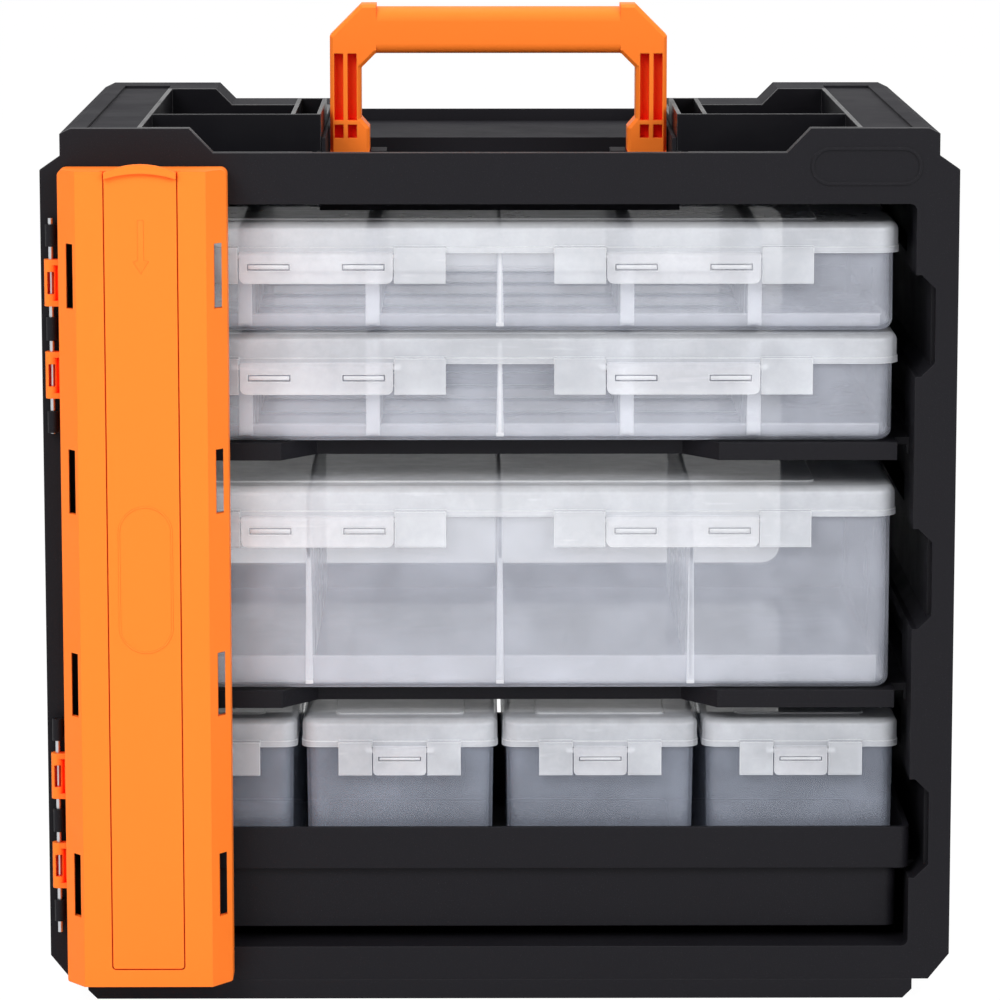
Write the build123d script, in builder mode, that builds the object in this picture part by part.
from build123d import *
import os

# Drawer storage rack with a carry handle, a hinged locking bar, three latched cases and a drawer of boxes.
# Millimetres. The origin is the centre of the plinth's underside, +Z is up and the open front faces -Y.

# Overall sizes of the rack
rack_width = 390.0
rack_depth = 268.0
flange_width = 8.6
panel_wall = 2.4
fit_gap = 0.3
rest_gap = 0.2

# Front frame
post_width = 18.0
post_depth = 24.0
face_thickness = 6.0
sill_height = 14.7
beam_height = 21.7
shoulder_rise = 10.4
shoulder_length = 54.7
shoulder_run = 10.1
shoulder_bevel = (4.6, 2.2)
flange_slope_height = 6.0
flange_below_beam_top = 7.1
foot_chamfer = (9.0, 11.2)
opening_corner = 3.0
scallop_length = 43.6
scallop_chamfer = 6.0
scallop_reach = 1.4

# Pill-shaped plate raised on the right shoulder
pill_length = 47.2
pill_height = 16.1
pill_relief = 0.6
pill_line = 1.2
pill_centre_inset = 31.0
pill_below_top = 16.1

# Plinth
plinth_height = 8.5
plinth_inset = 7.4
plinth_wall = 3.5
plinth_chamfer = 4.0
plinth_pad_radius = 22.0
floor_plate = 3.0

# Back panel
back_thickness = 3.0
window_inset = 49.4
window_heights = (62.0, 57.0, 57.0)
window_corner = 9.0
window_rim = 4.0
screw_radius = 2.0
screw_head_radius = 4.0
screw_head_height = 2.2
screw_length = 12.0
screw_boss = 10.0
screw_pitch = 92.0
screw_bottom = 24.0
screw_rows = 4

# Shelves
shelf_plate = 3.2
shelf_lip = 4.4
shelf_side_gap = 6.5
shelf_step_half = 79.0
shelf_step_run = 15.0
shelf_setback = 19.0
shelf_lip_wall = 3.0
ledge_width = 8.0
ledge_height = 4.0

# Inner skins of the sides, flush with the posts, with sunk panels above and below each scallop
liner_setback = 30.0
panel_front_inset = 22.0
panel_rear_inset = 12.0
panel_scallop_rib = 5.0
panel_shelf_rib = 2.0
panel_upper_rib = 8.0

# Cases: gaps, walls and heights
front_setback = 8.0
rear_gap = 7.0
case_side_gap = 6.0
thin_case_height = 46.8
deep_case_height = 88.8
case_stack_gap = 0.8
case_wall = 1.6
lid_plate = 2.4
lid_overhang = 2.5
lid_skirt = 13.0
case_corner = 8.0
case_bottom_radius = 5.0
lid_rim_height = 2.6
lid_rim_relief = 0.4
lid_edge_radius = 3.8
label_rise = 0.6
label_corner = 4.0
label_margin = 14.0
label_inset = 35.0
thin_end_column = 59.5
thin_divider_width = 6.0
deep_end_column = 86.0
divider_wall = 1.4
divider_drop = 1.0
top_headroom = 8.8
deep_headroom = 11.6
box_headroom = 6.2

# Latches
latch_inset = 92.6
latch_width = 65.5
ear_width = 22.0
latch_drop = 12.6
latch_corner = 3.0
latch_window = (18.2, 2.9)
latch_window_offset = 20.2
latch_window_below = 5.5
latch_plate = 2.2
latch_barrel = 2.0
latch_stub = 1.1
latch_stub_length = 3.0
latch_side_gap = 0.5
latch_face_gap = 0.4
stub_clearance = 0.1
catch_reach = 3.6
catch_play = 0.5
ear_depth = 4.4
ear_rise = 3.0
ear_root = 1.0

# Drawer and its small boxes
drawer_wall = 2.4
drawer_side_wall = 1.8
drawer_ground_gap = 6.2
drawer_side_gap = 11.6
drawer_lip_gap = 6.0
drawer_lip_bottom = 26.7
drawer_lip_height = 18.2
drawer_corner = 5.0
drawer_front_inset = 4.0
box_height = 89.0
box_end_gap = 1.6
box_gap = 1.7
box_lid_overhang = 1.85
box_taper = 1.2
box_corner = 6.4
box_lid_skirt = 12.4
box_lid_edge = 3.0
box_rim_relief = 0.3
box_latch_width = 23.0
box_ear_width = 14.5
box_latch_drop = 11.6
box_latch_corner = 2.0
box_window = (18.5, 2.0)
box_window_below = 4.4
box_catch_play = 0.4
box_front_gap = 1.2
box_count = 4
box_label_half = 28.0
box_label_margin = 11.0
box_label_corner = 3.0

# Top deck and tool trays
deck_wall = 2.5
pit_wall = 1.6
pit_wall_drop = 6.0
pit_drop = 6.4
pit_floor_half = 95.0
pit_step_y = 38.0
pit_step_below = 7.8
deck_shoulder = 32.4
shoulder_strip = 11.0
strip_relief = 1.2
deck_rear_drop = 7.5
pit_rear_drop = 12.5
tray_wall = 1.8
tray_rear_inset = 39.0
cross_wall_back = 77.0
pocket_width = 11.4
pocket_rear = 33.0
pocket_hole = (-27.0, 31.0)
pocket_hole_inset = 0.8
pocket_hole_width = 8.0

# Carry handle
handle_half = 75.4
handle_side_gap = 0.8
leg_width = 13.9
foot_width = 17.6
grip_height = 21.9
handle_rise = 55.6
handle_thickness = 20.0
handle_corner = 14.0
inner_corner = 6.5
handle_core = 6.5
handle_rib = 1.95
handle_bevel = 1.4
grip_half = 54.6
grip_drop = 1.5
grip_round = (4.4, 6.1)
foot_rib_above = 2.9
foot_shoulder_above = 1.9
foot_shoulder = 4.3
pivot_drop = 14.0
pivot_pin_radius = 2.5
pivot_clearance = 0.05
lug_width = 7.0
lug_gap = 0.5
lug_cap = 4.2

# Locking bar
gate_inset = 8.5
gate_width = 71.15
gate_depth = 23.8
gate_back_gap = 0.8
gate_bevel = (8.1, 10.7)
gate_top_corner = 2.8
gate_bottom_corner = 0.8
gate_wall = 2.4
gate_above_plinth = 3.2
gate_below_beam_top = 5.5
cover_width = 30.4
cover_thickness = 2.7
cover_side_gap = 0.5
cover_tongue = 1.3
cover_tongue_thickness = 1.2
cover_corner = 1.2
cover_bottom_rise = 7.5
channel_floor = 3.0
channel_rib = 4.5
lip_above = 2.9
lip_rise = 3.4
lip_height = 3.7
lip_end_height = 2.7
lip_relief = 2.4
slot_height = 27.5
slot_width = 3.0
slot_left_inset = 3.8
slot_right_inset = 2.1
slot_count = 4
slot_pitch = 87.5
slot_bottom = 55.6

# Hinge of the locking bar
hinge_edge = 4.7
hinge_forward = 4.4
hinge_pin_radius = 1.0
hinge_clearance = 0.05
hinge_pin_length = 92.0
hinge_pin_shifts = (-3.5, 1.1)
knuckle_radius = 2.9
knuckle_length = 19.9
knuckle_pitch = 39.4
knuckle_window = 9.5
window_half_width = 1.4
knuckle_arm = (1.0, 2.0)
knuckle_flange = 2.4
barrel_radius = 2.3
barrel_end_length = 9.4
barrel_mid_length = 10.0
barrel_end_offset = 39.8
barrel_web = 3.0
hinge_low = 80.7
hinge_high_below = 52.4

# Levels worked out from the sizes above
front_y = -rack_depth / 2
rear_y = rack_depth / 2
half_width = rack_width / 2
body_half = half_width - flange_width
plinth_half = body_half - plinth_inset
window_half = body_half - window_inset
opening_half = half_width - post_width
sill_top = plinth_height + sill_height
drawer_bottom = sill_top + drawer_ground_gap
box_bottom = drawer_bottom + drawer_wall + rest_gap
lower_lip_bottom = box_bottom + box_height + box_headroom
lower_shelf_bottom = lower_lip_bottom + shelf_lip
lower_shelf_top = lower_shelf_bottom + shelf_plate
deep_bottom = lower_shelf_top + rest_gap
upper_lip_bottom = deep_bottom + deep_case_height + deep_headroom
upper_shelf_bottom = upper_lip_bottom + shelf_lip
upper_shelf_top = upper_shelf_bottom + shelf_plate
mid_bottom = upper_shelf_top + rest_gap
top_bottom = mid_bottom + thin_case_height + case_stack_gap
beam_bottom = top_bottom + thin_case_height + top_headroom
beam_top = beam_bottom + beam_height
shoulder_top = beam_top + shoulder_rise
shoulder_inner = body_half - shoulder_length
face_back = front_y + face_thickness
post_back = front_y + post_depth
back_front = rear_y - back_thickness
side_inner = body_half - panel_wall
shelf_front_half = opening_half - shelf_side_gap
content_front = front_y + front_setback
content_rear = back_front - rear_gap
lid_half = opening_half - case_side_gap
label_half = lid_half - label_inset
latch_offset = lid_half - latch_inset
thin_divider_pitch = (lid_half - lid_overhang - thin_end_column) / 2
deep_divider_pitch = lid_half - lid_overhang - deep_end_column
drawer_body_half = side_inner - drawer_side_gap
drawer_lip_half = side_inner - drawer_lip_gap
box_pitch = 2 * (drawer_lip_half - drawer_wall - box_end_gap) / box_count
box_lid_width = box_pitch - box_gap
box_body_width = box_lid_width - 2 * box_lid_overhang
pit_half = handle_half + handle_side_gap
pit_wall_out = pit_half + pit_wall
tray_inner = pit_wall_out + fit_gap
pocket_inner = tray_inner + tray_wall + pocket_hole_inset
pocket_wall = tray_inner + pocket_width
tray_outer = body_half - deck_shoulder
gate_left = gate_inset - half_width
cross_y = front_y + cross_wall_back
stack_seam = top_bottom
deep_middle = deep_bottom + deep_case_height / 2
lip_bottom = drawer_bottom + drawer_lip_bottom
scallop_centres = (stack_seam + 3.4, deep_middle + 5.4, lip_bottom + 19.1)
window_centres = (stack_seam - 2.1, deep_middle - 4.9, lip_bottom + 34.4)
window_sizes = list(zip(window_centres, window_heights))


def block(x0, x1, y0, y1, z0, z1, mode=Mode.ADD):
    """A box between two corners, added to the part that is being built."""
    with Locations(((x0 + x1) / 2, (y0 + y1) / 2, (z0 + z1) / 2)):
        Box(x1 - x0, y1 - y0, z1 - z0, mode=mode)


def mirrored_outline(right_points):
    """A closed outline symmetric about X = 0, from its right half, listed from the bottom up."""
    left_points = [(-x, z) for x, z in reversed(right_points)]
    Polyline(*right_points, *left_points, close=True)


def front_plane(y):
    """The plane square to Y at y, seen from the front: X to the right, Z up, its normal towards -Y."""
    return Plane.XZ.offset(-y)


def save(built, name):
    built.part.label = name
    export_step(built.part, f"parts/{name}.step")


os.makedirs("parts", exist_ok=True)


# Front frame: a shouldered ring, with deep posts and a deep sill behind its face
frame_outline = [
    (half_width - foot_chamfer[0], plinth_height),
    (half_width, plinth_height + foot_chamfer[1]),
    (half_width, beam_top - flange_below_beam_top),
    (body_half, beam_top - flange_below_beam_top + flange_slope_height),
    (body_half, shoulder_top - shoulder_bevel[1]),
    (body_half - shoulder_bevel[0], shoulder_top),
    (shoulder_inner, shoulder_top),
    (shoulder_inner - shoulder_run, beam_top),
]
hinge_x = -half_width + hinge_edge
hinge_y = front_y - hinge_forward
hinge_centres = (hinge_low, beam_bottom - hinge_high_below)
opening_middle = (sill_top + beam_bottom) / 2
opening_height = beam_bottom - sill_top
scallop_width = 2 * (side_inner + scallop_reach - opening_half)

with BuildPart() as front_frame:
    with BuildSketch(front_plane(front_y)):
        with BuildLine():
            mirrored_outline(frame_outline)
        make_face()
        with Locations((0, opening_middle)):
            RectangleRounded(2 * opening_half, opening_height, opening_corner, mode=Mode.SUBTRACT)
    extrude(amount=-face_thickness)
    block(-side_inner, -opening_half, face_back, post_back, plinth_height, beam_bottom)
    block(opening_half, side_inner, face_back, post_back, plinth_height, beam_bottom)
    block(-opening_half, opening_half, face_back, post_back, plinth_height, sill_top)
    # Finger scallops through the posts
    with BuildSketch(front_plane(front_y)):
        for centre in scallop_centres:
            with Locations((-opening_half, centre), (opening_half, centre)):
                Rectangle(scallop_width, scallop_length)
        chamfer(vertices(), length=scallop_chamfer)
    extrude(amount=-post_depth, mode=Mode.SUBTRACT)
    # Raised outline of a pill on the right shoulder
    with BuildSketch(front_plane(front_y)):
        with Locations((body_half - pill_centre_inset, shoulder_top - pill_below_top)):
            SlotOverall(pill_length, pill_height)
            SlotOverall(pill_length - 2 * pill_line, pill_height - 2 * pill_line, mode=Mode.SUBTRACT)
    extrude(amount=pill_relief)
    # Hinge barrels, each on a web that stands out of the left post
    for centre in hinge_centres:
        barrels = (
            (centre - barrel_end_offset, barrel_end_length),
            (centre, barrel_mid_length),
            (centre + barrel_end_offset, barrel_end_length),
        )
        for middle, length in barrels:
            with Locations((hinge_x, hinge_y, middle)):
                Cylinder(barrel_radius, length)
            web_half = barrel_web / 2
            z0, z1 = middle - length / 2, middle + length / 2
            block(hinge_x - web_half, hinge_x + web_half, hinge_y, front_y, z0, z1)
        with Locations((hinge_x, hinge_y, centre)):
            Cylinder(hinge_pin_radius + hinge_clearance, hinge_pin_length, mode=Mode.SUBTRACT)
save(front_frame, "front_frame")

# Steel pins of the locking bar's hinge
hinge_pins = zip(("hinge_pin_lower", "hinge_pin_upper"), hinge_centres, hinge_pin_shifts)
for name, centre, shift in hinge_pins:
    with BuildPart() as hinge_pin:
        with Locations((hinge_x, hinge_y, centre + shift)):
            Cylinder(hinge_pin_radius, hinge_pin_length)
    save(hinge_pin, name)

# Base plinth: a rim, crossed ribs and a centre pad under a floor plate
plinth_outline = [
    (plinth_half - plinth_chamfer, 0),
    (plinth_half, plinth_chamfer),
    (plinth_half, plinth_height),
]
plinth_inner = plinth_half - plinth_chamfer - plinth_wall
with BuildPart() as base_plinth:
    with BuildSketch(front_plane(front_y)):
        with BuildLine():
            mirrored_outline(plinth_outline)
        make_face()
    extrude(amount=-rack_depth)
    block(-plinth_inner, plinth_inner, front_y + plinth_wall, rear_y - plinth_wall,
          0, plinth_height - floor_plate, Mode.SUBTRACT)
    block(-plinth_inner, plinth_inner, -plinth_wall / 2, plinth_wall / 2, 0, plinth_height)
    for x in (-plinth_inner / 2, 0, plinth_inner / 2):
        block(x - plinth_wall / 2, x + plinth_wall / 2, front_y, rear_y, 0, plinth_height)
    with Locations((0, 0, plinth_height / 2)):
        Cylinder(plinth_pad_radius, plinth_height)
    block(-side_inner, side_inner, post_back, back_front, plinth_height, plinth_height + floor_plate)
save(base_plinth, "base_plinth")

# Back panel: three windows, each with a rim on the inside
screw_x = side_inner - screw_boss / 2
screw_levels = [screw_bottom + n * screw_pitch for n in range(screw_rows)]
screw_places = [(x, z) for x in (-screw_x, screw_x) for z in screw_levels]
with BuildPart() as back_panel:
    block(-body_half, body_half, back_front, rear_y, plinth_height, beam_bottom)
    with BuildSketch(front_plane(back_front)):
        for centre, height in window_sizes:
            with Locations((0, centre)):
                RectangleRounded(
                    2 * window_half + 2 * panel_wall,
                    height + 2 * panel_wall,
                    window_corner + panel_wall,
                )
    extrude(amount=window_rim)
    with BuildSketch(front_plane(back_front - window_rim)):
        for centre, height in window_sizes:
            with Locations((0, centre)):
                RectangleRounded(2 * window_half, height, window_corner)
    extrude(amount=-window_rim - back_thickness, mode=Mode.SUBTRACT)
    with BuildSketch(front_plane(back_front)):
        with Locations(*screw_places):
            Circle(screw_radius + fit_gap)
    extrude(amount=-back_thickness, mode=Mode.SUBTRACT)
save(back_panel, "back_panel")

# Screws through the back panel, all alike
with BuildPart() as frame_screws:
    with BuildSketch(front_plane(rear_y)):
        with Locations(*screw_places):
            Circle(screw_radius)
    extrude(amount=screw_length)
    with BuildSketch(front_plane(rear_y)):
        with Locations(*screw_places):
            Circle(screw_head_radius)
    extrude(amount=-screw_head_height)
save(frame_screws, "frame_screws")

# Side panels, each with an inner skin, two shelf ledges, a drawer rail and a column of screw bosses
rail_top = lip_bottom - rest_gap
rail_width = side_inner - drawer_body_half - fit_gap
ledges = ((lower_shelf_bottom, ledge_width), (upper_shelf_bottom, ledge_width), (rail_top, rail_width))
liner_rear = back_front - liner_setback
bays = (
    (lower_shelf_bottom - ledge_height, scallop_centres[2] + scallop_length / 2, scallop_centres[2]),
    (upper_shelf_bottom - ledge_height, lower_shelf_top + fit_gap, scallop_centres[1]),
    (beam_bottom, upper_shelf_top + fit_gap, scallop_centres[0]),
)
for name, side in (("side_panel_left", -1), ("side_panel_right", 1)):
    with BuildPart() as side_panel:
        skin = sorted((side * opening_half, side * side_inner))
        for high, low, _ in bays:
            block(*skin, post_back, liner_rear, low, high)
        with BuildSketch(front_plane(post_back)):
            for centre in scallop_centres:
                with Locations((side * opening_half, centre)):
                    Rectangle(scallop_width, scallop_length)
            chamfer(vertices(), length=scallop_chamfer)
        extrude(amount=post_back - liner_rear, mode=Mode.SUBTRACT)
        for high, low, centre in bays:
            panels = (
                (low + panel_shelf_rib, centre - scallop_length / 2 - panel_scallop_rib),
                (centre + scallop_length / 2 + panel_scallop_rib, high - panel_upper_rib),
            )
            for z0, z1 in panels:
                if z1 > z0:
                    block(*skin, post_back + panel_front_inset, liner_rear - panel_rear_inset, z0, z1,
                          Mode.SUBTRACT)
        wall = sorted((side * side_inner, side * body_half))
        block(*wall, face_back, back_front, plinth_height, beam_bottom)
        for top, width in ledges:
            x_pair = sorted((side * side_inner, side * (side_inner - width)))
            block(*x_pair, post_back, back_front, top - ledge_height, top)
        for level in screw_levels:
            x_pair = sorted((side * side_inner, side * (side_inner - screw_boss)))
            z0, z1 = level - screw_boss / 2, level + screw_boss / 2
            block(*x_pair, back_front - screw_boss, back_front, z0, z1)
        with BuildSketch(front_plane(back_front)):
            with Locations(*[(side * screw_x, level) for level in screw_levels]):
                Circle(screw_radius)
        extrude(amount=screw_length, mode=Mode.SUBTRACT)
    save(side_panel, name)

# Shelves, each a plate with a front lip whose middle is drawn back
shelf_front = content_front
for name, bottom in (("shelf_lower", lower_shelf_bottom), ("shelf_upper", upper_shelf_bottom)):
    with BuildPart() as shelf:
        with BuildSketch(Plane.XY.offset(bottom)):
            with BuildLine():
                Polyline(
                    (-side_inner, back_front - window_rim),
                    (-side_inner, post_back),
                    (-shelf_front_half, post_back),
                    (-shelf_front_half, shelf_front),
                    (-shelf_step_half - shelf_step_run, shelf_front),
                    (-shelf_step_half, shelf_front + shelf_setback),
                    (shelf_step_half, shelf_front + shelf_setback),
                    (shelf_step_half + shelf_step_run, shelf_front),
                    (shelf_front_half, shelf_front),
                    (shelf_front_half, post_back),
                    (side_inner, post_back),
                    (side_inner, back_front - window_rim),
                    close=True,
                )
            make_face()
        extrude(amount=shelf_plate)
        with BuildSketch(Plane.XY.offset(bottom)):
            with BuildLine():
                Polyline(
                    (-shelf_front_half, shelf_front + shelf_lip_wall),
                    (-shelf_front_half, shelf_front),
                    (-shelf_step_half - shelf_step_run, shelf_front),
                    (-shelf_step_half, shelf_front + shelf_setback),
                    (shelf_step_half, shelf_front + shelf_setback),
                    (shelf_step_half + shelf_step_run, shelf_front),
                    (shelf_front_half, shelf_front),
                    (shelf_front_half, shelf_front + shelf_lip_wall),
                    (shelf_step_half + shelf_step_run, shelf_front + shelf_lip_wall),
                    (shelf_step_half, shelf_front + shelf_setback + shelf_lip_wall),
                    (-shelf_step_half, shelf_front + shelf_setback + shelf_lip_wall),
                    (-shelf_step_half - shelf_step_run, shelf_front + shelf_lip_wall),
                    close=True,
                )
            make_face()
        extrude(amount=-shelf_lip)
    save(shelf, name)

# Top deck: hollow shoulders, two wells for the tool trays and a pit for the handle
tray_rear = rear_y - tray_rear_inset
pit_floor = beam_bottom - pit_drop + deck_wall
pit_step_top = beam_top - pit_step_below
pivot_z = beam_top - pivot_drop
foot_inner = handle_half - foot_width
foot_radius = handle_thickness / 2
lug_outer = foot_inner - lug_gap
lug_inner = lug_outer - lug_width
deck_outline = [
    (body_half, beam_bottom),
    (body_half, shoulder_top - shoulder_bevel[1]),
    (body_half - shoulder_bevel[0], shoulder_top),
    (shoulder_inner, shoulder_top),
]
with BuildPart() as top_deck:
    with BuildSketch(front_plane(face_back)):
        with BuildLine():
            mirrored_outline([*deck_outline, (shoulder_inner - shoulder_run, beam_top)])
        make_face()
    extrude(amount=face_back - rear_y)
    with BuildSketch(front_plane(tray_rear)):
        with BuildLine():
            mirrored_outline([
                *deck_outline,
                (shoulder_inner - deck_rear_drop, shoulder_top - deck_rear_drop),
            ])
        make_face()
    extrude(amount=tray_rear - rear_y)
    for side in (-1, 1):
        # Well of the tool tray, and the sunk strip outside it
        well = sorted((side * pit_wall_out, side * (tray_outer + fit_gap)))
        block(*well, face_back, tray_rear, beam_bottom + deck_wall, shoulder_top, Mode.SUBTRACT)
        strip = sorted((side * tray_outer, side * (body_half - shoulder_strip)))
        block(*strip, face_back, rear_y - 2 * shoulder_strip, shoulder_top - strip_relief, shoulder_top,
              Mode.SUBTRACT)
        # Hollow of the shoulder and of the rear, open downwards
        hollow = sorted((side * (tray_outer + fit_gap + deck_wall), side * side_inner))
        block(*hollow, face_back + deck_wall, tray_rear + deck_wall, beam_bottom,
              shoulder_top - strip_relief - deck_wall, Mode.SUBTRACT)
        rear_hollow = sorted((side * (pit_wall_out + deck_wall), side * side_inner))
        block(*rear_hollow, tray_rear + deck_wall, rear_y - deck_wall, beam_bottom,
              shoulder_top - deck_rear_drop - deck_wall, Mode.SUBTRACT)
        hole = sorted((side * pocket_inner, side * (pocket_inner + pocket_hole_width)))
        block(*hole, *pocket_hole, beam_bottom, beam_bottom + deck_wall, Mode.SUBTRACT)
        low_wall = sorted((side * pit_half, side * pit_wall_out))
        block(*low_wall, face_back, cross_y, beam_top - pit_wall_drop, shoulder_top, Mode.SUBTRACT)
    # Pit between the trays, with a deeper floor and a raised step at the rear
    block(-pit_half, pit_half, face_back, rear_y - deck_wall, beam_bottom + deck_wall, shoulder_top,
          Mode.SUBTRACT)
    block(-pit_wall_out, pit_wall_out, rear_y - deck_wall, rear_y, shoulder_top - pit_rear_drop, shoulder_top,
          Mode.SUBTRACT)
    block(-pit_wall_out, pit_wall_out, -pit_floor_half, pit_step_y + deck_wall,
          beam_bottom - pit_drop, beam_bottom)
    block(-pit_half, pit_half, deck_wall - pit_floor_half, pit_step_y, pit_floor, beam_bottom + deck_wall,
          Mode.SUBTRACT)
    block(-pit_half, pit_half, pit_step_y, rear_y - deck_wall, pit_step_top - deck_wall, pit_step_top)
    block(-pit_half, pit_half, pit_step_y, pit_step_y + deck_wall, beam_bottom, pit_step_top)
    # Lugs inside the handle's feet, and the pivot bores
    for x0, x1 in ((-lug_outer, -lug_inner), (lug_inner, lug_outer)):
        block(x0, x1, -foot_radius, foot_radius, pit_floor, pivot_z + lug_cap)
    with BuildSketch(Plane.YZ):
        with Locations((0, pivot_z)):
            Circle(pivot_pin_radius + pivot_clearance)
    extrude(amount=pit_wall_out, both=True, mode=Mode.SUBTRACT)
save(top_deck, "top_deck")

# Pivot pins of the handle
with BuildPart() as handle_pivot_pins:
    for x0 in (-pit_wall_out, lug_inner):
        with BuildSketch(Plane.YZ.offset(x0)):
            with Locations((0, pivot_z)):
                Circle(pivot_pin_radius)
        extrude(amount=pit_wall_out - lug_inner)
save(handle_pivot_pins, "handle_pivot_pins")

# Tool trays: front bin, rear bin and a small pocket with a hole in its floor
tray_front = face_back + fit_gap
tray_back = tray_rear - fit_gap
tray_bottom = beam_bottom + deck_wall
for name, side in (("tool_tray_left", -1), ("tool_tray_right", 1)):
    with BuildPart() as tool_tray:
        outside = sorted((side * tray_inner, side * tray_outer))
        block(*outside, tray_front, tray_back, tray_bottom, shoulder_top)
        front_bin = sorted((side * (tray_inner + tray_wall), side * (tray_outer - tray_wall)))
        block(*front_bin, tray_front + tray_wall, cross_y, tray_bottom + tray_wall, shoulder_top,
              Mode.SUBTRACT)
        rear_bin = sorted((side * (pocket_wall + tray_wall), side * (tray_outer - tray_wall)))
        block(*rear_bin, cross_y + tray_wall, tray_back - tray_wall, tray_bottom + tray_wall, shoulder_top,
              Mode.SUBTRACT)
        pocket = sorted((side * (tray_inner + tray_wall), side * pocket_wall))
        block(*pocket, cross_y + tray_wall, pocket_rear, tray_bottom + tray_wall, shoulder_top, Mode.SUBTRACT)
        block(*pocket, pocket_rear + tray_wall, tray_back - tray_wall, tray_bottom + tray_wall, shoulder_top,
              Mode.SUBTRACT)
        hole = sorted((side * pocket_inner, side * (pocket_inner + pocket_hole_width)))
        block(*hole, *pocket_hole, tray_bottom, tray_bottom + tray_wall, Mode.SUBTRACT)
        low_wall = sorted((side * tray_inner, side * (tray_inner + tray_wall)))
        block(*low_wall, tray_front, cross_y, beam_top - pit_wall_drop, shoulder_top, Mode.SUBTRACT)
        # The inner ends of the front and rear walls come down with the shoulders
        with BuildSketch(front_plane(tray_front)):
            with BuildLine():
                Polyline(
                    (side * tray_inner, shoulder_top),
                    (side * tray_inner, beam_top),
                    (side * (shoulder_inner - shoulder_run), beam_top),
                    (side * shoulder_inner, shoulder_top),
                    close=True,
                )
            make_face()
        extrude(amount=tray_front - cross_y, mode=Mode.SUBTRACT)
        rear_cut = shoulder_top - deck_rear_drop
        with BuildSketch(front_plane(pocket_rear + tray_wall)):
            with BuildLine():
                Polyline(
                    (side * tray_inner, shoulder_top),
                    (side * tray_inner, rear_cut),
                    (side * (shoulder_inner - deck_rear_drop), rear_cut),
                    (side * shoulder_inner, shoulder_top),
                    close=True,
                )
            make_face()
        extrude(amount=pocket_rear + tray_wall - tray_back, mode=Mode.SUBTRACT)
    save(tool_tray, name)

# Carry handle: a chamfered arch with a rounded grip and cored legs on round feet
handle_top = beam_top + handle_rise
grip_bottom = handle_top - grip_height
leg_inner = handle_half - leg_width
foot_rib = beam_top + foot_rib_above
shoulder_level = foot_rib + foot_shoulder_above
grip_top = handle_top - grip_drop
core_width = (leg_width - 3 * handle_rib) / 2
core_columns = (leg_inner + handle_rib, handle_half - handle_rib - core_width)
with BuildPart() as carry_handle:
    with BuildSketch(front_plane(-foot_radius)):
        with BuildLine():
            mirrored_outline([
                (handle_half, pivot_z),
                (handle_half, handle_top - handle_corner),
                (handle_half - handle_corner, handle_top),
            ])
        make_face()
        with BuildLine():
            mirrored_outline([
                (foot_inner, pivot_z),
                (foot_inner, shoulder_level - foot_shoulder),
                (leg_inner, shoulder_level),
                (leg_inner, grip_bottom - inner_corner),
                (leg_inner - inner_corner, grip_bottom),
            ])
        make_face(mode=Mode.SUBTRACT)
    extrude(amount=-handle_thickness)
    rims = carry_handle.faces().sort_by(Axis.Y)
    outline_edges = [edge for face in (rims[0], rims[-1]) for edge in face.edges()]
    chamfer([edge for edge in outline_edges if edge.center().Z > pivot_z + 1], length=handle_bevel)
    block(-grip_half, grip_half, -foot_radius, foot_radius, grip_bottom, handle_top, Mode.SUBTRACT)
    with BuildSketch(Plane.YZ.offset(-grip_half)):
        with Locations((0, (grip_bottom + grip_top) / 2)):
            Rectangle(handle_thickness, grip_top - grip_bottom)
        fillet(vertices().group_by(Axis.Y)[0], radius=grip_round[0])
        fillet(vertices().group_by(Axis.Y)[-1], radius=grip_round[1])
    extrude(amount=2 * grip_half)
    for x0 in (-handle_half, foot_inner):
        with BuildSketch(Plane.YZ.offset(x0)):
            with Locations((0, pivot_z)):
                Circle(foot_radius)
        extrude(amount=foot_width)
    for side in (-1, 1):
        for x in core_columns:
            column = sorted((side * x, side * (x + core_width)))
            for y0 in (-foot_radius, foot_radius - handle_core):
                y1 = y0 + handle_core
                block(*column, y0, y1, foot_rib + handle_rib / 2, grip_bottom, Mode.SUBTRACT)
                block(*column, y0, y1, pivot_z + foot_radius, foot_rib - handle_rib / 2, Mode.SUBTRACT)
    with BuildSketch(Plane.YZ):
        with Locations((0, pivot_z)):
            Circle(pivot_pin_radius + pivot_clearance)
    extrude(amount=handle_half, both=True, mode=Mode.SUBTRACT)
save(carry_handle, "carry_handle")

# Locking bar: a hollow bar with bevelled sides, a channel for its cover, slots and hinge knuckles
gate_bottom = plinth_height + gate_above_plinth
gate_top = beam_top - gate_below_beam_top
gate_right = gate_left + gate_width
gate_back = front_y - gate_back_gap
gate_front = gate_back - gate_depth
gate_middle = gate_left + gate_width / 2
channel_half = cover_width / 2 + cover_side_gap
channel_back = gate_front + cover_thickness + cover_side_gap
channel_bottom = gate_bottom + cover_bottom_rise
pad_half = channel_half + channel_rib


def gate_section(back):
    """The bar's level section, from its back to its front, with the bevels at the front."""
    bevel_x, bevel_y = gate_bevel
    Polyline(
        (gate_left, back),
        (gate_left, gate_front + bevel_y),
        (gate_left + bevel_x, gate_front),
        (gate_right - bevel_x, gate_front),
        (gate_right, gate_front + bevel_y),
        (gate_right, back),
        close=True,
    )


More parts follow.
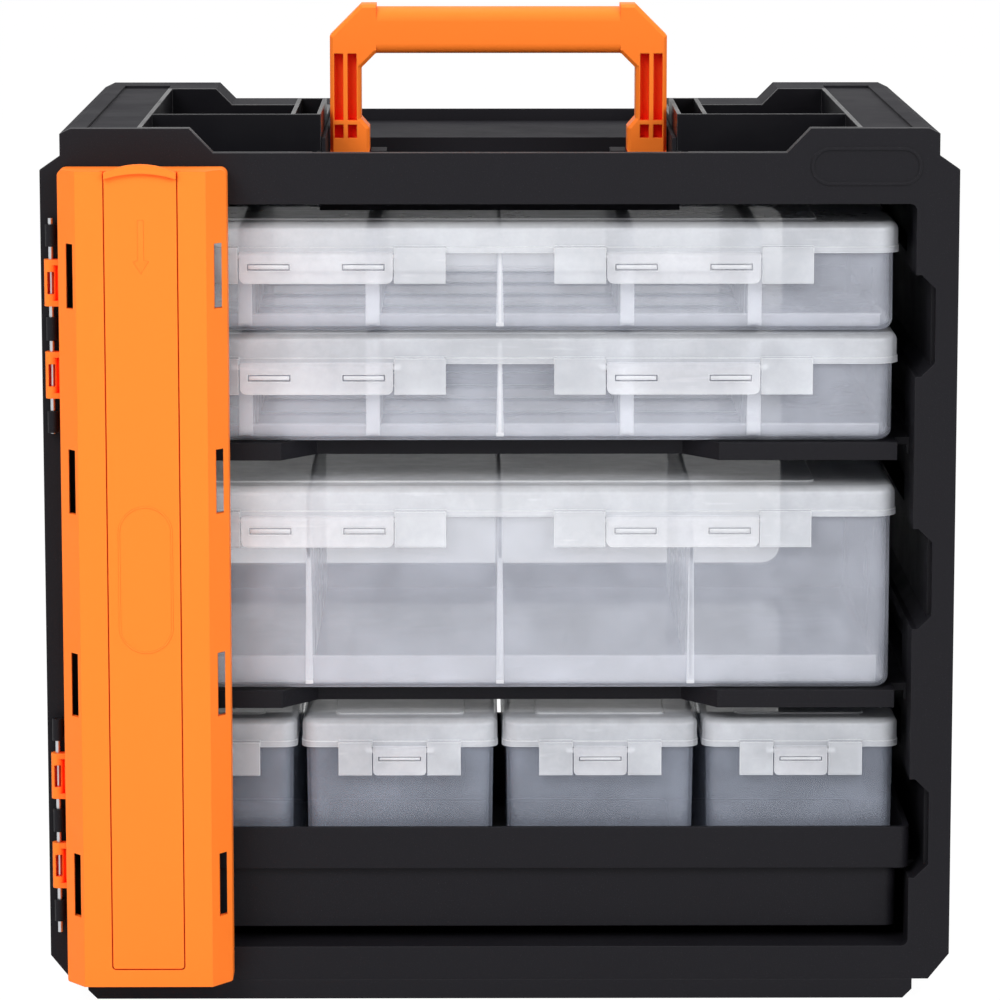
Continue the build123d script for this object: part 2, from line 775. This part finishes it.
with BuildPart() as gate_bar:
    with BuildSketch(Plane.XY.offset(gate_bottom)):
        with BuildLine():
            gate_section(gate_back)
        make_face()
    extrude(amount=gate_top - gate_bottom)
    with BuildSketch(front_plane(gate_back)):
        with Locations((gate_middle, (gate_bottom + gate_top) / 2)):
            Rectangle(gate_width, gate_top - gate_bottom)
        fillet(vertices().group_by(Axis.Y)[0], radius=gate_bottom_corner)
        fillet(vertices().group_by(Axis.Y)[-1], radius=gate_top_corner)
    extrude(amount=gate_depth, mode=Mode.INTERSECT)
    # Hollow, open at the back
    with BuildSketch(Plane.XY.offset(gate_bottom + gate_wall)):
        with BuildLine():
            gate_section(gate_back + gate_wall)
        make_face()
        offset(amount=-gate_wall, kind=Kind.INTERSECTION, mode=Mode.REPLACE)
    extrude(amount=gate_top - gate_bottom - 2 * gate_wall, mode=Mode.SUBTRACT)
    # Channel of the cover, with a groove along each side
    block(gate_middle - pad_half, gate_middle + pad_half, gate_front, channel_back + channel_floor,
          gate_bottom, gate_top)
    with BuildSketch(front_plane(gate_front)):
        with Locations((gate_middle, (channel_bottom + gate_top) / 2)):
            Rectangle(2 * channel_half, gate_top - channel_bottom)
        fillet(vertices().group_by(Axis.Y)[0], radius=cover_corner + cover_side_gap)
    extrude(amount=gate_front - channel_back, mode=Mode.SUBTRACT)
    groove_half = channel_half + cover_tongue
    groove_front = channel_back - cover_tongue_thickness - 2 * cover_side_gap
    block(gate_middle - groove_half, gate_middle + groove_half, groove_front, channel_back, channel_bottom,
          gate_top, Mode.SUBTRACT)
    # Slots through both bevels
    for n in range(slot_count):
        middle = slot_bottom + n * slot_pitch
        for x0 in (gate_left + slot_left_inset, gate_right - slot_right_inset - slot_width):
            block(x0, x0 + slot_width, gate_front, gate_back,
                  middle - slot_height / 2, middle + slot_height / 2, Mode.SUBTRACT)
    # Knuckles on short arms, each with a window that shows the pin
    for centre in hinge_centres:
        for middle in (centre - knuckle_pitch / 2, centre + knuckle_pitch / 2):
            z0, z1 = middle - knuckle_length / 2, middle + knuckle_length / 2
            with Locations((hinge_x, hinge_y, middle)):
                Cylinder(knuckle_radius, knuckle_length)
            arm_front, arm_back = hinge_y - knuckle_arm[0], hinge_y + knuckle_arm[1]
            block(hinge_x, gate_left + gate_wall, arm_front, arm_back, z0, z1)
            for z in (z0, z1 - knuckle_flange):
                block(hinge_x, gate_left + gate_wall, hinge_y - knuckle_radius, arm_back,
                      z, z + knuckle_flange)
            block(hinge_x - window_half_width, hinge_x + window_half_width, hinge_y - knuckle_radius, hinge_y,
                  middle - knuckle_window / 2, middle + knuckle_window / 2, Mode.SUBTRACT)
        with Locations((hinge_x, hinge_y, centre)):
            Cylinder(hinge_pin_radius + hinge_clearance, hinge_pin_length, mode=Mode.SUBTRACT)
save(gate_bar, "gate_bar")

# Sliding cover of the bar, with tongues in the channel and an arched thumb lip
cover_half = cover_width / 2
cover_bottom = channel_bottom + cover_side_gap
cover_peak = gate_top + lip_above
cover_shoulder = cover_peak - lip_rise
tongue_half = groove_half - cover_side_gap
tongue_front = groove_front + cover_side_gap
cover_back = channel_back - cover_side_gap
cover_left, cover_right = gate_middle - cover_half, gate_middle + cover_half
lip_low = cover_shoulder - lip_end_height
lip_ends = ((cover_left, cover_shoulder), (cover_right, cover_shoulder))
with BuildPart() as gate_cover:
    with BuildSketch(front_plane(cover_back)):
        with BuildLine():
            Polyline(
                (cover_right, cover_shoulder),
                (cover_right, cover_bottom),
                (cover_left, cover_bottom),
                (cover_left, cover_shoulder),
            )
            ThreePointArc(lip_ends[0], (gate_middle, cover_peak), lip_ends[1])
        make_face()
        fillet(vertices().group_by(Axis.Y)[0], radius=cover_corner)
    extrude(amount=cover_thickness)
    block(gate_middle - tongue_half, gate_middle + tongue_half, tongue_front, cover_back, cover_bottom,
          lip_low)
    with BuildSketch(front_plane(gate_front)):
        with BuildLine():
            ThreePointArc(lip_ends[0], (gate_middle, cover_peak), lip_ends[1])
            Line((cover_right, cover_shoulder), (cover_right, lip_low))
            low_peak = (gate_middle, cover_peak - lip_height)
            ThreePointArc((cover_right, lip_low), low_peak, (cover_left, lip_low))
            Line((cover_left, lip_low), (cover_left, cover_shoulder))
        make_face()
    extrude(amount=lip_relief)
save(gate_cover, "gate_cover")


# Each latch: its width, drop, lower corner radius, windows' places and size, their depth below the skirt
case_latch = (latch_width, latch_drop, latch_corner, (-latch_window_offset, latch_window_offset),
              latch_window, latch_window_below)
box_latch = (box_latch_width, box_latch_drop, box_latch_corner, (0,), box_window, box_window_below)


def latch_axis(lid_front, skirt_bottom):
    """Y and Z of the line that a latch turns about."""
    return lid_front - latch_barrel - latch_face_gap, skirt_bottom - latch_barrel / 2


def catches(x, kind, play, lid_front, skirt_bottom, base_inside):
    """The bars on a base that stand in the windows of a closed latch."""
    _, _, _, places, window, below = kind
    half_width, half_height = window[0] / 2 - play, window[1] / 2 - play
    middle = skirt_bottom - below
    for place in places:
        block(x + place - half_width, x + place + half_width, lid_front - catch_reach, base_inside,
              middle - half_height, middle + half_height)


def ears(x, kind, ear, lid_front, skirt_bottom):
    """Two ears on a lid, bored for the stubs of the latch between them."""
    width, drop = kind[0], kind[1]
    inner = width / 2 + latch_side_gap
    barrel_y, barrel_z = latch_axis(lid_front, skirt_bottom)
    for side in (-1, 1):
        x_pair = sorted((x + side * inner, x + side * (inner + ear)))
        block(*x_pair, lid_front - ear_depth, lid_front, skirt_bottom - drop, skirt_bottom)
        block(*x_pair, lid_front - ear_depth, lid_front + ear_root, skirt_bottom, skirt_bottom + ear_rise)
    bore_half = inner + latch_stub_length
    with Locations(Location((x, barrel_y, barrel_z), (0, 90, 0))):
        Cylinder(latch_stub + stub_clearance, 2 * bore_half, mode=Mode.SUBTRACT)


def save_latch(name, x, kind, lid_front, skirt_bottom):
    """A latch: a barrel with stubs, and a plate with windows and rounded lower corners."""
    width, drop, corner, places, window, below = kind
    barrel_y, barrel_z = latch_axis(lid_front, skirt_bottom)
    plate_front = barrel_y - latch_barrel
    low = skirt_bottom - drop
    with BuildPart() as latch:
        with Locations(Location((x, barrel_y, barrel_z), (0, 90, 0))):
            Cylinder(latch_barrel, width)
            Cylinder(latch_stub, width + 2 * latch_stub_length)
        with BuildSketch(front_plane(plate_front)):
            with Locations((x, (low + barrel_z) / 2)):
                Rectangle(width, barrel_z - low)
            fillet(vertices().group_by(Axis.Y)[0], radius=corner)
            with Locations(*[(x + place, skirt_bottom - below) for place in places]):
                Rectangle(*window, mode=Mode.SUBTRACT)
        extrude(amount=-latch_plate)
    save(latch, name)


# Wide cases: base, lid, dividers and two latches each
lid_front = content_front
lid_rear = content_rear
base_front = lid_front + lid_overhang
base_rear = lid_rear - lid_overhang
base_half = lid_half - lid_overhang
case_centre = (0, (lid_front + lid_rear) / 2)
divider_front = base_front + case_wall + fit_gap
divider_rear = base_rear - case_wall - fit_gap
thin_dividers = [n * thin_divider_pitch for n in (-2, -1, 1, 2)]
deep_dividers = [n * deep_divider_pitch for n in (-1, 0, 1)]
cases = (
    ("case_top", top_bottom, thin_case_height, thin_dividers, thin_divider_width),
    ("case_mid", mid_bottom, thin_case_height, thin_dividers, thin_divider_width),
    ("case_deep", deep_bottom, deep_case_height, deep_dividers, divider_wall),
)
for name, bottom, height, divider_places, divider_width in cases:
    top = bottom + height
    skirt_bottom = top - lid_skirt
    base_top = top - lid_plate - rest_gap
    with BuildPart() as case_base:
        with BuildSketch(Plane.XY.offset(bottom)):
            with Locations(case_centre):
                RectangleRounded(2 * base_half, base_rear - base_front, case_corner)
        extrude(amount=base_top - bottom)
        fillet(case_base.edges().group_by(Axis.Z)[0], radius=case_bottom_radius)
        offset(amount=-case_wall, openings=case_base.faces().sort_by(Axis.Z)[-1])
        if divider_width > divider_wall:
            block(-divider_wall / 2, divider_wall / 2, base_front + case_wall, base_rear - case_wall,
                  bottom + case_wall, base_top - divider_drop)
        for x in (-latch_offset, latch_offset):
            catches(x, case_latch, catch_play, lid_front, skirt_bottom, base_front + case_wall / 2)
    save(case_base, f"{name}_base")

    with BuildPart() as case_lid:
        with BuildSketch(Plane.XY.offset(skirt_bottom)):
            with Locations(case_centre):
                RectangleRounded(
                    2 * lid_half - 2 * lid_rim_relief,
                    lid_rear - lid_front - 2 * lid_rim_relief,
                    case_corner + lid_overhang - lid_rim_relief,
                )
        extrude(amount=lid_skirt)
        fillet(case_lid.edges().group_by(Axis.Z)[-1], radius=lid_edge_radius)
        with BuildSketch(Plane.XY.offset(skirt_bottom)):
            with Locations(case_centre):
                RectangleRounded(2 * lid_half, lid_rear - lid_front, case_corner + lid_overhang)
        extrude(amount=lid_rim_height)
        with BuildSketch(Plane.XY.offset(skirt_bottom)):
            with Locations(case_centre):
                RectangleRounded(
                    2 * base_half + 2 * fit_gap,
                    base_rear - base_front + 2 * fit_gap,
                    case_corner + fit_gap,
                )
        extrude(amount=lid_skirt - lid_plate, mode=Mode.SUBTRACT)
        with BuildSketch(Plane.XY.offset(top - lid_plate / 2)):
            with Locations(case_centre):
                RectangleRounded(2 * label_half, lid_rear - lid_front - 2 * label_margin, label_corner)
        extrude(amount=lid_plate / 2 + label_rise)
        for x in (-latch_offset, latch_offset):
            ears(x, case_latch, ear_width, lid_front, skirt_bottom)
    save(case_lid, f"{name}_lid")

    divider_bottom = bottom + case_wall + rest_gap
    divider_top = base_top - divider_drop
    core_half = divider_width / 2 - divider_wall
    with BuildPart() as case_dividers:
        for x in divider_places:
            block(x - divider_width / 2, x + divider_width / 2, divider_front, divider_rear, divider_bottom,
                  divider_top)
        bottom_ends = case_dividers.edges().filter_by(Axis.X).group_by(Axis.Z)[0]
        fillet(bottom_ends, radius=case_bottom_radius - case_wall)
        if core_half > 0:
            for x in divider_places:
                block(x - core_half, x + core_half, divider_front + divider_wall, divider_rear - divider_wall,
                      divider_bottom, divider_top - divider_wall, Mode.SUBTRACT)
    save(case_dividers, f"{name}_dividers")

    save_latch(f"{name}_latch_left", -latch_offset, case_latch, lid_front, skirt_bottom)
    save_latch(f"{name}_latch_right", latch_offset, case_latch, lid_front, skirt_bottom)

# Drawer: a tray whose walls step out into a wide lip
drawer_front = content_front + drawer_front_inset
drawer_rear = content_rear - drawer_front_inset
with BuildPart() as drawer:
    with BuildSketch(Plane.XY.offset(drawer_bottom)):
        with Locations((0, (drawer_front + drawer_rear) / 2)):
            RectangleRounded(2 * drawer_body_half, drawer_rear - drawer_front, drawer_corner)
    extrude(amount=drawer_lip_bottom + drawer_wall)
    with BuildSketch(Plane.XY.offset(lip_bottom)):
        with Locations((0, (content_front + content_rear) / 2)):
            RectangleRounded(2 * drawer_lip_half, content_rear - content_front, drawer_corner)
    extrude(amount=drawer_lip_height)
    with BuildSketch(Plane.XY.offset(lip_bottom + drawer_wall)):
        with Locations((0, (content_front + content_rear) / 2)):
            RectangleRounded(
                2 * drawer_lip_half - 2 * drawer_wall,
                content_rear - content_front - 2 * drawer_wall,
                drawer_corner - drawer_wall,
            )
    extrude(amount=drawer_lip_height, mode=Mode.SUBTRACT)
    with BuildSketch(Plane.XY.offset(drawer_bottom + drawer_wall)):
        with Locations((0, (drawer_front + drawer_rear) / 2)):
            RectangleRounded(
                2 * drawer_body_half - 2 * drawer_side_wall,
                drawer_rear - drawer_front - 2 * drawer_wall,
                drawer_corner - drawer_wall,
            )
    extrude(amount=drawer_lip_height + drawer_lip_bottom, mode=Mode.SUBTRACT)
save(drawer, "drawer")

# Small boxes in the drawer: base, lid and one latch each
box_front = drawer_front + drawer_wall + box_front_gap
box_rear = drawer_rear - drawer_wall - box_front_gap
box_top = box_bottom + box_height
box_base_top = box_top - lid_plate - rest_gap
box_skirt_bottom = box_top - box_lid_skirt
box_lid_front = box_front - box_lid_overhang
box_lid_rear = box_rear + box_lid_overhang
for n in range(box_count):
    x = (n - (box_count - 1) / 2) * box_pitch
    middle = (x, (box_front + box_rear) / 2)
    taper_ends = ((0, box_taper), (box_base_top - box_bottom, 0))
    with BuildPart() as box_base:
        for wall, floor, mode in ((0, 0, Mode.ADD), (case_wall, case_wall, Mode.SUBTRACT)):
            for rise, inset in taper_ends:
                with BuildSketch(Plane.XY.offset(box_bottom + max(rise, floor))):
                    with Locations(middle):
                        RectangleRounded(
                            box_body_width - 2 * inset - 2 * wall,
                            box_rear - box_front - 2 * inset - 2 * wall,
                            box_corner - wall,
                        )
            loft(mode=mode)
        catches(x, box_latch, box_catch_play, box_lid_front, box_skirt_bottom, box_front + case_wall / 2)
    save(box_base, f"box_{n + 1}_base")

    with BuildPart() as box_lid:
        with BuildSketch(Plane.XY.offset(box_skirt_bottom)):
            with Locations(middle):
                RectangleRounded(
                    box_lid_width - 2 * box_rim_relief,
                    box_lid_rear - box_lid_front - 2 * box_rim_relief,
                    box_corner + fit_gap - box_rim_relief,
                )
        extrude(amount=box_lid_skirt)
        fillet(box_lid.edges().group_by(Axis.Z)[-1], radius=box_lid_edge)
        with BuildSketch(Plane.XY.offset(box_skirt_bottom)):
            with Locations(middle):
                RectangleRounded(box_lid_width, box_lid_rear - box_lid_front, box_corner + fit_gap)
        extrude(amount=lid_rim_height)
        with BuildSketch(Plane.XY.offset(box_skirt_bottom)):
            with Locations(middle):
                RectangleRounded(box_body_width + 2 * fit_gap, box_rear - box_front + 2 * fit_gap, box_corner)
        extrude(amount=box_lid_skirt - lid_plate, mode=Mode.SUBTRACT)
        with BuildSketch(Plane.XY.offset(box_top - lid_plate / 2)):
            with Locations(middle):
                RectangleRounded(
                    2 * box_label_half,
                    box_lid_rear - box_lid_front - 2 * box_label_margin,
                    box_label_corner,
                )
        extrude(amount=lid_plate / 2 + label_rise)
        ears(x, box_latch, box_ear_width, box_lid_front, box_skirt_bottom)
    save(box_lid, f"box_{n + 1}_lid")

    save_latch(f"box_{n + 1}_latch", x, box_latch, box_lid_front, box_skirt_bottom)
